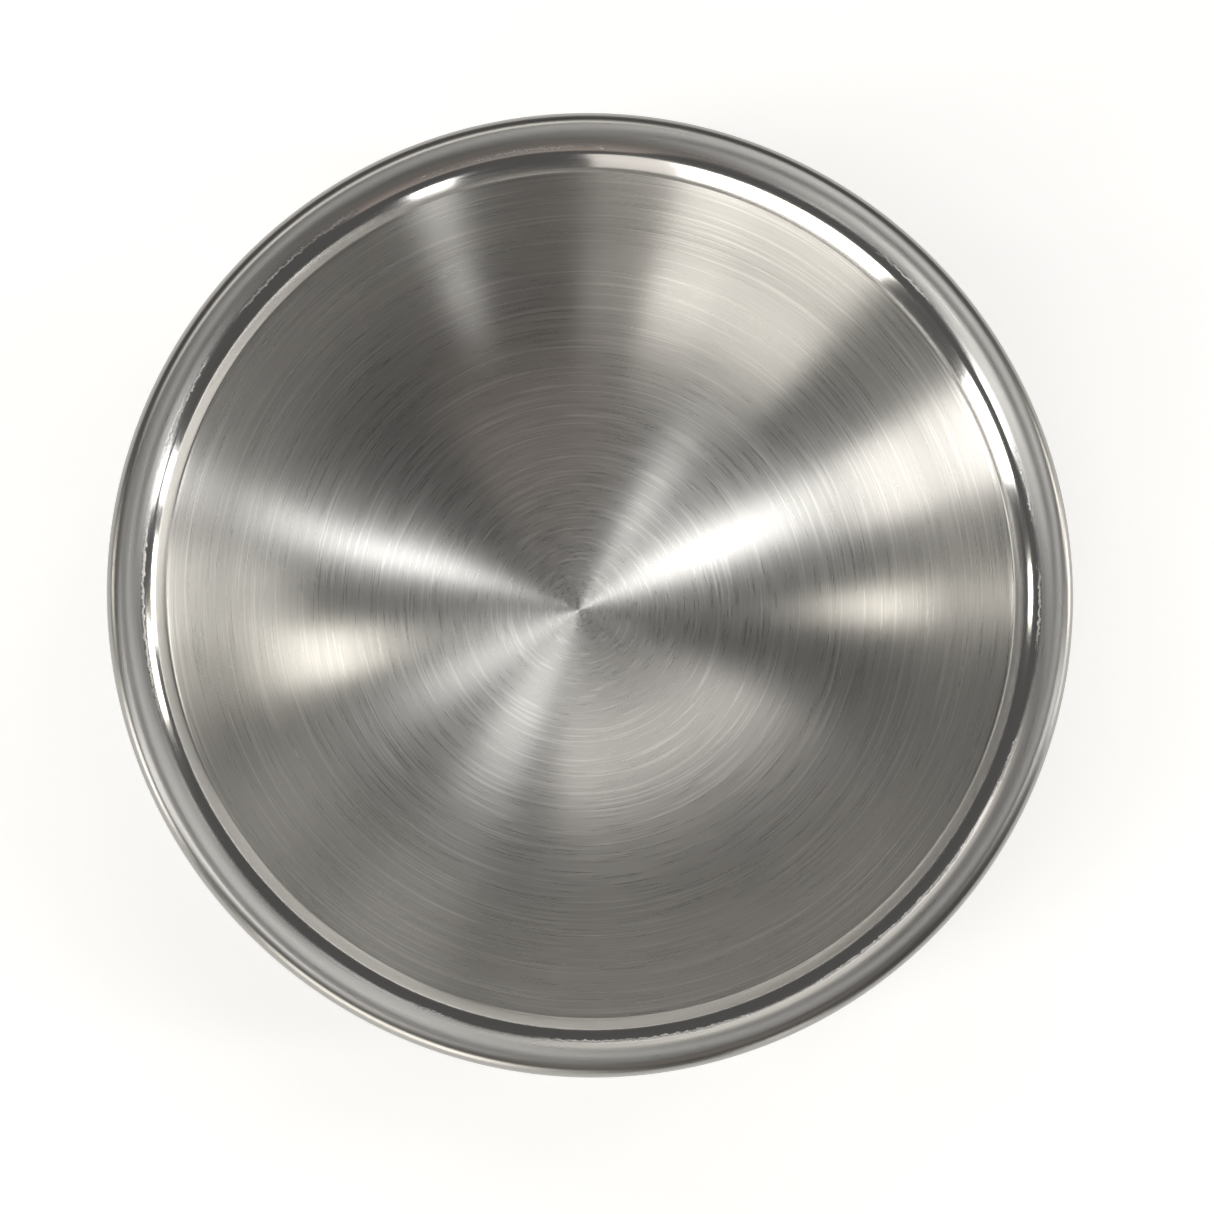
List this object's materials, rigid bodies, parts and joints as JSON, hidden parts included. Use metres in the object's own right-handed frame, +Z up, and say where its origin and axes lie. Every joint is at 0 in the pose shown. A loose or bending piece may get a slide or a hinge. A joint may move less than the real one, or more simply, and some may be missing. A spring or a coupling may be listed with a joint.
{
  "type": "shaving bowl",
  "caption": "Double-walled stainless steel shaving bowl: a round dish brushed in rings, a polished rolled lip, a rounded outer shell and a non-slip foot ring.",
  "frame": {"origin": "on the surface the bowl stands on, on the bowl's axis", "axes": "+Z up along the bowl's axis, out of its mouth; +X and +Y are free, because every piece is turned about +Z"},
  "size_m": [0.115, 0.115, 0.042],
  "materials": {
    "brushed_liner": "stainless steel, brushed in fine rings inside and mirror polished on the lip",
    "polished_shell": "mirror-polished stainless steel",
    "satin_plate": "stainless steel, satin turned in rings",
    "weld_metal": "fused stainless steel, dressed smooth",
    "plug_metal": "stainless steel, satin",
    "foot_silicone": "matt black silicone"
  },
  "bodies": {
    "root": {"inner_bowl": "brushed_liner", "outer_shell": "polished_shell", "base_plate": "satin_plate", "rim_weld": "weld_metal", "base_weld": "weld_metal", "vent_plug": "plug_metal", "foot_ring": "foot_silicone"}
  },
  "joints": []
}
